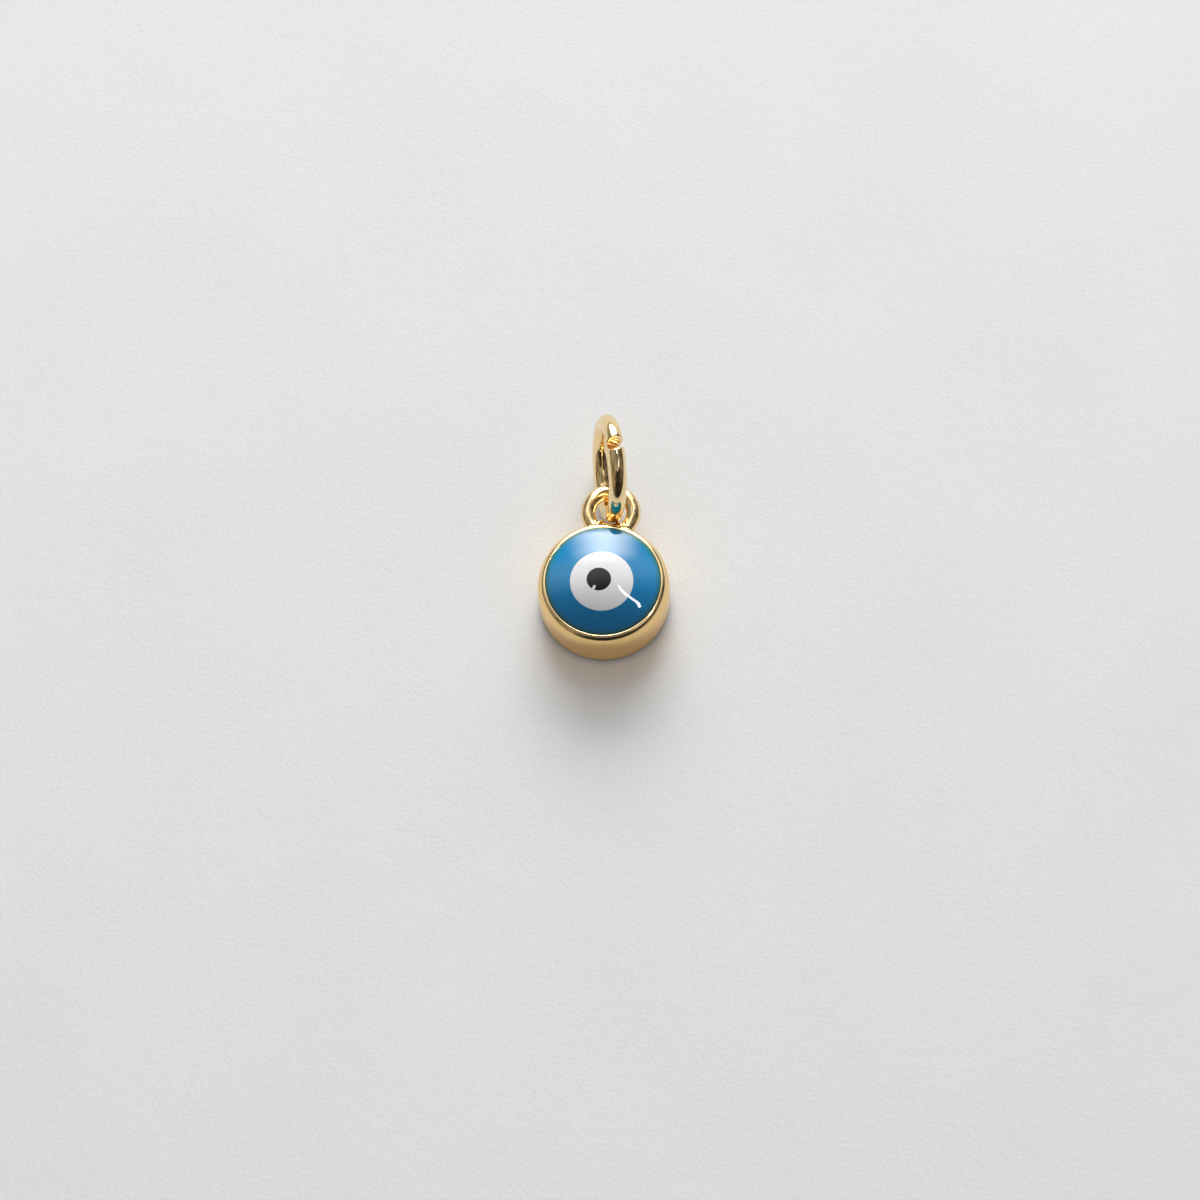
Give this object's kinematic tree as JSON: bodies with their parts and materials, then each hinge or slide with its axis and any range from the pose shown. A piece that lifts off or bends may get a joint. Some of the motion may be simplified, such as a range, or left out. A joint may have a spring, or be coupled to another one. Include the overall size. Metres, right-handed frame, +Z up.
{
  "type": "evil eye pendant",
  "caption": "Round gold-plated bezel cup set with a low glossy blue, white and black eye, with a soldered loop and an open jump ring, lying on its back.",
  "frame": {"origin": "centre of the cup's flat back, on which the pendant lies", "axes": "+Z up out of the eye, +Y from the eye towards the loop and the jump ring, +X to the right of the eye seen from above with the loop at the top"},
  "size_m": [0.006, 0.011, 0.005],
  "materials": {
    "plated_cup": "gold plated and polished, satin on the wall",
    "blue_gloss": "opaque mid blue, polished",
    "white_gloss": "opaque white, polished",
    "black_gloss": "opaque black, polished",
    "plated_ring": "gold plated wire, mirror polished"
  },
  "bodies": {
    "root": {"setting": "plated_cup", "cabochon": "blue_gloss", "eye_white": "white_gloss", "eye_pupil": "black_gloss", "jump_ring": "plated_ring"}
  },
  "joints": []
}
